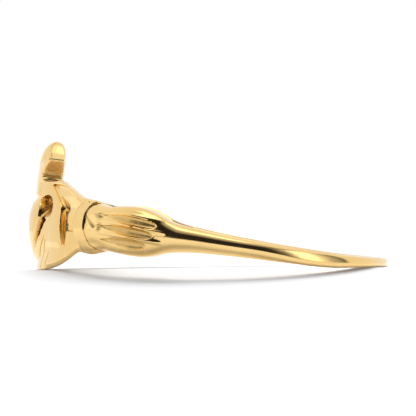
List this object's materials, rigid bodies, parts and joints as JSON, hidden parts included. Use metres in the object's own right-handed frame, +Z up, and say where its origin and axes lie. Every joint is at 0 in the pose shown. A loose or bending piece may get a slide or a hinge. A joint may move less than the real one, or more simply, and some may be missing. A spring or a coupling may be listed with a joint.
{
  "type": "claddagh ring",
  "caption": "Claddagh ring cast in one piece: two hands hold a crowned heart, with pleated sleeves and a slender half-round shank.",
  "frame": {"origin": "middle of the ring's footprint, on the surface that it lies on", "axes": "+Z up from the surface, -X towards the head, so the heart faces -X; the finger's axis leans from +Z towards +X by the ring's resting tilt"},
  "size_m": [0.0202, 0.0196, 0.007],
  "materials": {
    "yellow_gold": "polished"
  },
  "bodies": {
    "root": {"claddagh_ring": "yellow_gold"}
  },
  "joints": []
}
